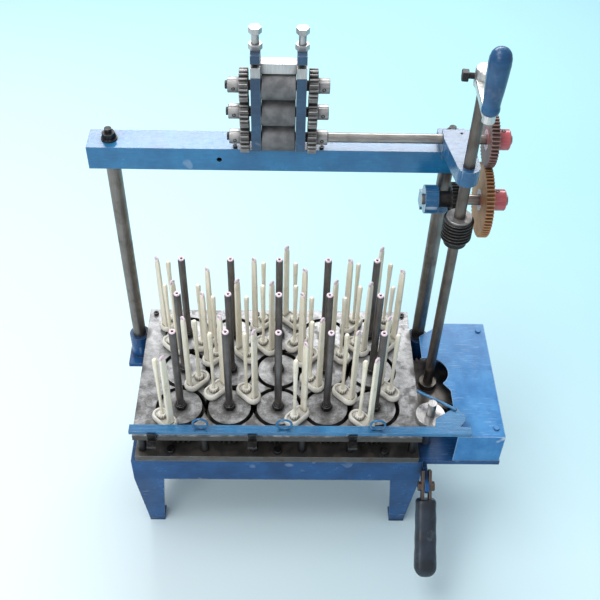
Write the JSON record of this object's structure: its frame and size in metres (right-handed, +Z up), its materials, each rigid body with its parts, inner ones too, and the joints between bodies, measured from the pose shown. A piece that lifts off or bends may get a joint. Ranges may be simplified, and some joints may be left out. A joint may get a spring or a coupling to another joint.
{
  "type": "packing braiding machine",
  "caption": "Lattice braiding machine with horn gears, yarn carriers and warp tubes on a low blue frame, and a gantry with draw-off rollers driven by a hand crank.",
  "frame": {"origin": "on the floor, under the middle of the machine's box", "axes": "+Z up, -Y toward the operator, +X to the crank side"},
  "size_m": [0.732, 0.4864, 1.0553],
  "materials": {
    "blue_paint": "gloss enamel, brushed on, worn at the edges",
    "cover_paint": "gloss enamel over sheet metal",
    "plate_steel": "ground plate, oily and scuffed",
    "tube_steel": "drawn bar, dull",
    "dark_steel": "blackened, oily",
    "gear_steel": "cut gear, oily",
    "roller_steel": "knurled",
    "bright_steel": "machined bright",
    "bronze": "gear bronze with a red painted hub",
    "red_paint": "red enamel hub, worn teeth",
    "grip_paint": "blue, glossy",
    "grip_plastic": "dark blue, dull",
    "carrier_ivory": "ivory castings with a pale ceramic eye"
  },
  "bodies": {
    "machine": {"base_frame": "blue_paint", "base_plate": "plate_steel", "track_plate": "plate_steel", "spacer_columns": "dark_steel", "gear_posts": "plate_steel", "warp_tubes": "tube_steel", "fasteners": "dark_steel", "posts": "tube_steel", "beam": "blue_paint", "draw_off_cheeks": "blue_paint", "bearing_brackets": "blue_paint", "side_cover": "cover_paint", "stop_stud": "bright_steel"},
    "drive": {"drive_shaft": "tube_steel", "drive_gear": "gear_steel", "worm": "dark_steel", "crank_arm": "bright_steel"},
    "grip": {"crank_grip": "grip_paint"},
    "cross": {"cross_shaft": "tube_steel", "worm_wheel": "dark_steel", "change_gear_lower": "bronze"},
    "bottom_roller": {"roller_bottom": "roller_steel", "pinions_bottom": "gear_steel", "change_gear_upper": "red_paint"},
    "middle_roller": {"roller_middle": "roller_steel", "pinions_middle": "gear_steel"},
    "yoke": {"pressure_yoke": "bright_steel"},
    "top_roller": {"roller_top": "roller_steel", "pinions_top": "gear_steel"},
    "left_screw": {"screw_left": "bright_steel"},
    "right_screw": {"screw_right": "bright_steel"},
    "stop": {"stop_bar": "blue_paint"},
    "lever": {"hand_lever": "bright_steel", "lever_grip": "grip_plastic"},
    "horn_front_1": {"horn_gear_front_1": "gear_steel", "carriers_front_1": "carrier_ivory"},
    "horn_front_2": {"horn_gear_front_2": "gear_steel", "carriers_front_2": "carrier_ivory"},
    "horn_front_3": {"horn_gear_front_3": "gear_steel", "carriers_front_3": "carrier_ivory"},
    "horn_front_4": {"horn_gear_front_4": "gear_steel", "carriers_front_4": "carrier_ivory"},
    "horn_front_5": {"horn_gear_front_5": "gear_steel", "carriers_front_5": "carrier_ivory"},
    "horn_middle_1": {"horn_gear_middle_1": "gear_steel", "carriers_middle_1": "carrier_ivory"},
    "horn_middle_2": {"horn_gear_middle_2": "gear_steel", "carriers_middle_2": "carrier_ivory"},
    "horn_middle_3": {"horn_gear_middle_3": "gear_steel"},
    "horn_middle_4": {"horn_gear_middle_4": "gear_steel", "carriers_middle_4": "carrier_ivory"},
    "horn_middle_5": {"horn_gear_middle_5": "gear_steel"},
    "horn_back_1": {"horn_gear_back_1": "gear_steel", "carriers_back_1": "carrier_ivory"},
    "horn_back_2": {"horn_gear_back_2": "gear_steel"},
    "horn_back_3": {"horn_gear_back_3": "gear_steel", "carriers_back_3": "carrier_ivory"},
    "horn_back_4": {"horn_gear_back_4": "gear_steel"},
    "horn_back_5": {"horn_gear_back_5": "gear_steel", "carriers_back_5": "carrier_ivory"}
  },
  "joints": [
    {"name": "drive_spin", "type": "hinge", "parent": "machine", "child": "drive", "pos_m": [0.24089, 0.07518, 0.3], "axis": [0, 0, 1], "continuous": true},
    {"name": "grip_spin", "type": "hinge", "parent": "drive", "child": "grip", "pos_m": [0.23127, -0.01632, 0.9573], "axis": [0, 0, 1], "continuous": true},
    {"name": "cross_spin", "type": "hinge", "parent": "machine", "child": "cross", "pos_m": [0.24089, 0.12958, 0.68838], "axis": [1, 0, 0], "continuous": true},
    {"name": "bottom_roller_spin", "type": "hinge", "parent": "machine", "child": "bottom_roller", "pos_m": [-0.053, 0.16068, 0.78763], "axis": [1, 0, 0], "continuous": true},
    {"name": "middle_roller_spin", "type": "hinge", "parent": "machine", "child": "middle_roller", "pos_m": [-0.053, 0.16068, 0.83513], "axis": [1, 0, 0], "continuous": true},
    {"name": "yoke_lift", "type": "slide", "parent": "machine", "child": "yoke", "axis": [0, 0, 1], "range_m": [0, 0.00583]},
    {"name": "top_roller_spin", "type": "hinge", "parent": "yoke", "child": "top_roller", "pos_m": [-0.053, 0.16068, 0.88262], "axis": [1, 0, 0], "continuous": true},
    {"name": "right_screw_turn", "type": "hinge", "parent": "yoke", "child": "right_screw", "pos_m": [-0.018, 0.16068, 0.88262], "axis": [0, 0, 1], "range_deg": [0, 1200]},
    {"name": "left_screw_turn", "type": "hinge", "parent": "yoke", "child": "left_screw", "pos_m": [-0.088, 0.16068, 0.88262], "axis": [0, 0, 1], "range_deg": [0, 1200]},
    {"name": "stop_slide", "type": "slide", "parent": "machine", "child": "stop", "axis": [1, 0, 0], "range_m": [0, 0.015]},
    {"name": "lever_swing", "type": "hinge", "parent": "machine", "child": "lever", "pos_m": [0.227, -0.11682, 0.204], "axis": [1, 0, 0], "range_deg": [-30, 0]},
    {"name": "horn_front_1_spin", "type": "hinge", "parent": "machine", "child": "horn_front_1", "pos_m": [-0.23, -0.00982, 0.3], "axis": [0, 0, 1], "continuous": true},
    {"name": "horn_front_2_spin", "type": "hinge", "parent": "machine", "child": "horn_front_2", "pos_m": [-0.14, -0.00982, 0.3], "axis": [0, 0, 1], "continuous": true},
    {"name": "horn_front_3_spin", "type": "hinge", "parent": "machine", "child": "horn_front_3", "pos_m": [-0.05, -0.00982, 0.3], "axis": [0, 0, 1], "continuous": true},
    {"name": "horn_front_4_spin", "type": "hinge", "parent": "machine", "child": "horn_front_4", "pos_m": [0.04, -0.00982, 0.3], "axis": [0, 0, 1], "continuous": true},
    {"name": "horn_front_5_spin", "type": "hinge", "parent": "machine", "child": "horn_front_5", "pos_m": [0.13, -0.00982, 0.3], "axis": [0, 0, 1], "continuous": true},
    {"name": "horn_middle_1_spin", "type": "hinge", "parent": "machine", "child": "horn_middle_1", "pos_m": [-0.23, 0.08018, 0.3], "axis": [0, 0, 1], "continuous": true},
    {"name": "horn_middle_2_spin", "type": "hinge", "parent": "machine", "child": "horn_middle_2", "pos_m": [-0.14, 0.08018, 0.3], "axis": [0, 0, 1], "continuous": true},
    {"name": "horn_middle_3_spin", "type": "hinge", "parent": "machine", "child": "horn_middle_3", "pos_m": [-0.05, 0.08018, 0.3], "axis": [0, 0, 1], "continuous": true},
    {"name": "horn_middle_4_spin", "type": "hinge", "parent": "machine", "child": "horn_middle_4", "pos_m": [0.04, 0.08018, 0.3], "axis": [0, 0, 1], "continuous": true},
    {"name": "horn_middle_5_spin", "type": "hinge", "parent": "machine", "child": "horn_middle_5", "pos_m": [0.13, 0.08018, 0.3], "axis": [0, 0, 1], "continuous": true},
    {"name": "horn_back_1_spin", "type": "hinge", "parent": "machine", "child": "horn_back_1", "pos_m": [-0.23, 0.17018, 0.3], "axis": [0, 0, 1], "continuous": true},
    {"name": "horn_back_2_spin", "type": "hinge", "parent": "machine", "child": "horn_back_2", "pos_m": [-0.14, 0.17018, 0.3], "axis": [0, 0, 1], "continuous": true},
    {"name": "horn_back_3_spin", "type": "hinge", "parent": "machine", "child": "horn_back_3", "pos_m": [-0.05, 0.17018, 0.3], "axis": [0, 0, 1], "continuous": true},
    {"name": "horn_back_4_spin", "type": "hinge", "parent": "machine", "child": "horn_back_4", "pos_m": [0.04, 0.17018, 0.3], "axis": [0, 0, 1], "continuous": true},
    {"name": "horn_back_5_spin", "type": "hinge", "parent": "machine", "child": "horn_back_5", "pos_m": [0.13, 0.17018, 0.3], "axis": [0, 0, 1], "continuous": true}
  ],
  "couplings": [
    {"joint": "cross_spin", "follows": "drive_spin", "ratio": 0.035714},
    {"joint": "bottom_roller_spin", "follows": "drive_spin", "ratio": -0.050664},
    {"joint": "middle_roller_spin", "follows": "drive_spin", "ratio": 0.050664},
    {"joint": "top_roller_spin", "follows": "drive_spin", "ratio": -0.050664},
    {"joint": "right_screw_turn", "follows": "yoke_lift", "rad_per_m": 3590.4},
    {"joint": "left_screw_turn", "follows": "yoke_lift", "rad_per_m": 3590.4},
    {"joint": "horn_front_1_spin", "follows": "drive_spin", "ratio": 1.4667},
    {"joint": "horn_front_2_spin", "follows": "drive_spin", "ratio": -1.4667},
    {"joint": "horn_front_3_spin", "follows": "drive_spin", "ratio": 1.4667},
    {"joint": "horn_front_4_spin", "follows": "drive_spin", "ratio": -1.4667},
    {"joint": "horn_front_5_spin", "follows": "drive_spin", "ratio": 1.4667},
    {"joint": "horn_middle_1_spin", "follows": "drive_spin", "ratio": -1.4667},
    {"joint": "horn_middle_2_spin", "follows": "drive_spin", "ratio": 1.4667},
    {"joint": "horn_middle_3_spin", "follows": "drive_spin", "ratio": -1.4667},
    {"joint": "horn_middle_4_spin", "follows": "drive_spin", "ratio": 1.4667},
    {"joint": "horn_middle_5_spin", "follows": "drive_spin", "ratio": -1.4667},
    {"joint": "horn_back_1_spin", "follows": "drive_spin", "ratio": 1.4667},
    {"joint": "horn_back_2_spin", "follows": "drive_spin", "ratio": -1.4667},
    {"joint": "horn_back_3_spin", "follows": "drive_spin", "ratio": 1.4667},
    {"joint": "horn_back_4_spin", "follows": "drive_spin", "ratio": -1.4667},
    {"joint": "horn_back_5_spin", "follows": "drive_spin", "ratio": 1.4667}
  ]
}
